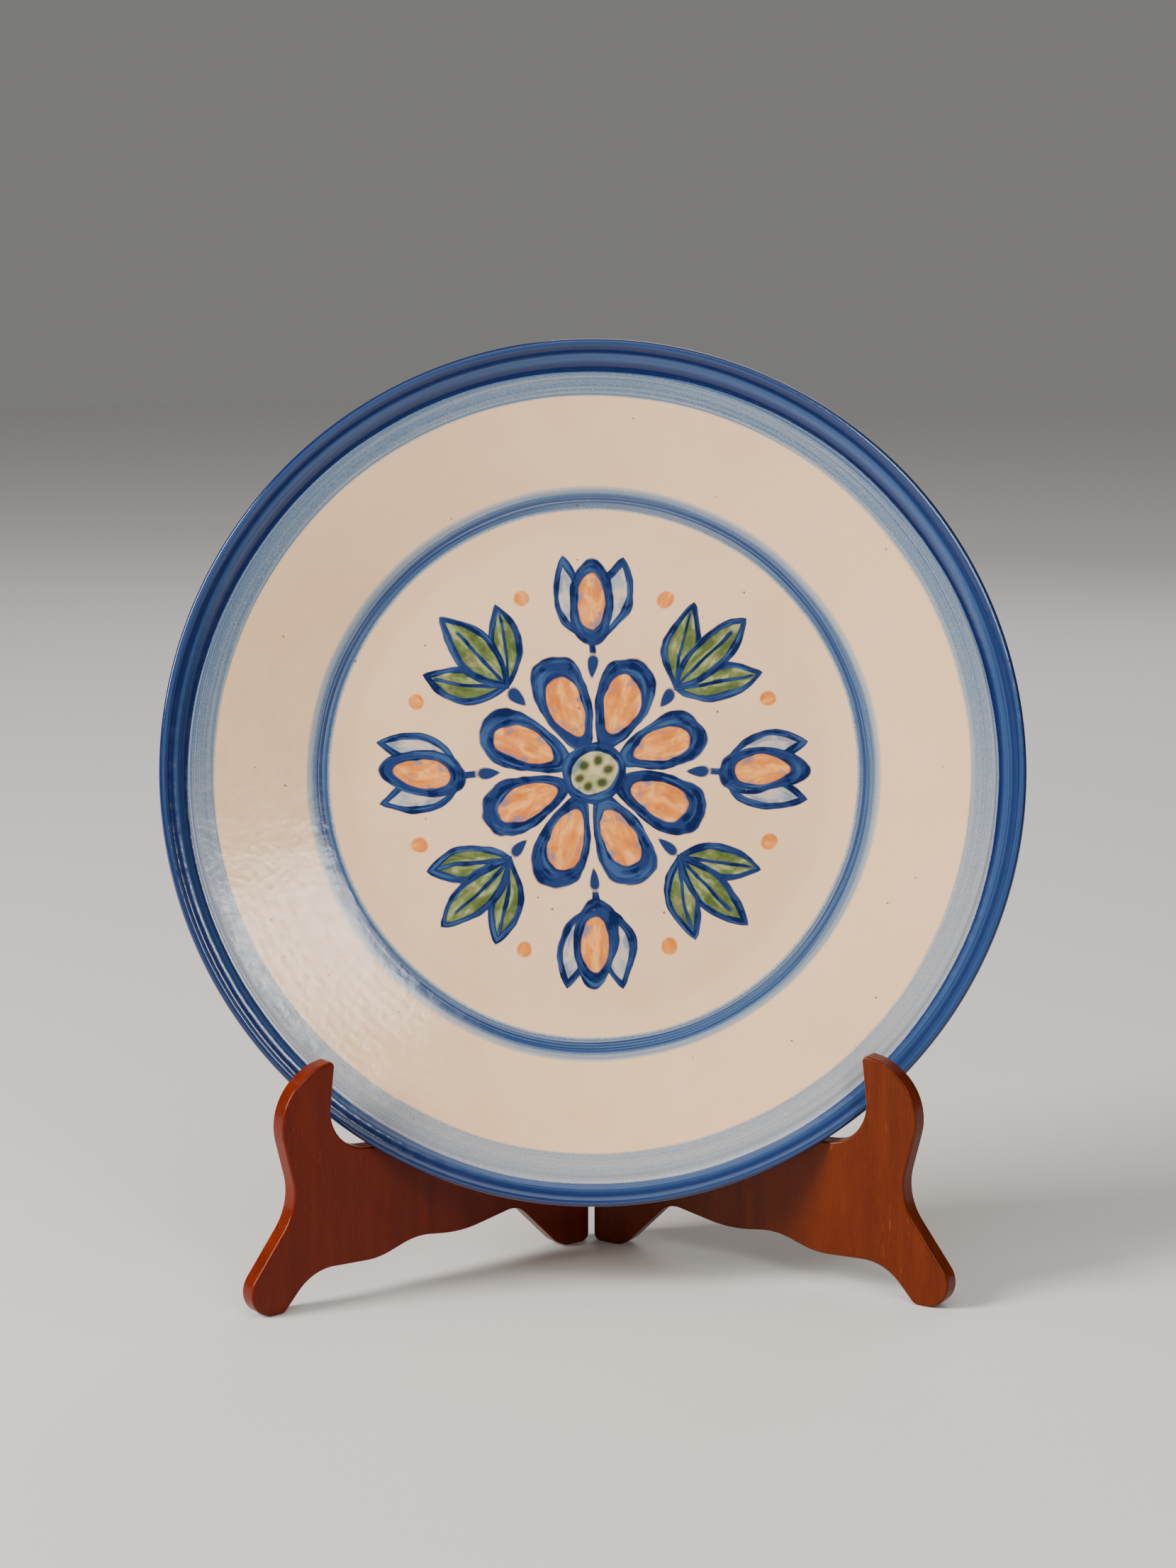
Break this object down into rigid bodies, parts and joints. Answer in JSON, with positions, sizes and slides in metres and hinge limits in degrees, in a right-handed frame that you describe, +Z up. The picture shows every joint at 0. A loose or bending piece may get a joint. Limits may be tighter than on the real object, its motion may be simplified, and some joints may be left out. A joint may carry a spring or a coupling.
{
  "type": "ceramic plate on folding stand",
  "caption": "Round hand-painted ceramic plate with a blue banded rim, held upright in a hinged folding wooden plate stand.",
  "frame": {"origin": "centre of the object's bounding box in X and Y, on the surface the feet stand on", "axes": "+Z up; the plate faces -Y and leans back towards +Y; X runs across the plate"},
  "size_m": [0.28, 0.0838, 0.3041],
  "materials": {
    "glazed_stoneware": "gloss glaze, cream ground with painted blue bands",
    "stained_wood": "red-brown stain under satin lacquer",
    "brass": "satin",
    "hinge_pin": "satin"
  },
  "bodies": {
    "right_half": {"right_panel": "stained_wood", "lower_hinge_right_leaf": "brass", "lower_hinge_right_screws": "brass", "lower_hinge_pin": "hinge_pin", "upper_hinge_right_leaf": "brass", "upper_hinge_right_screws": "brass", "upper_hinge_pin": "hinge_pin"},
    "left_half": {"left_panel": "stained_wood", "lower_hinge_left_leaf": "brass", "lower_hinge_left_screws": "brass", "upper_hinge_left_leaf": "brass", "upper_hinge_left_screws": "brass"},
    "plate": {"plate": "glazed_stoneware"}
  },
  "joints": [
    {"name": "plate_lift", "type": "slide", "parent": "right_half", "child": "plate", "axis": [0, 0.1908, 0.9816], "range_m": [0, 0.6]},
    {"name": "stand_fold", "type": "hinge", "parent": "right_half", "child": "left_half", "pos_m": [0, 0.03424, 0.068], "axis": [0, 0, 1], "range_deg": [0, 110]}
  ],
  "couplings": [
    {"joint": "stand_fold", "follows": "plate_lift", "rad_per_m": 3.199}
  ]
}
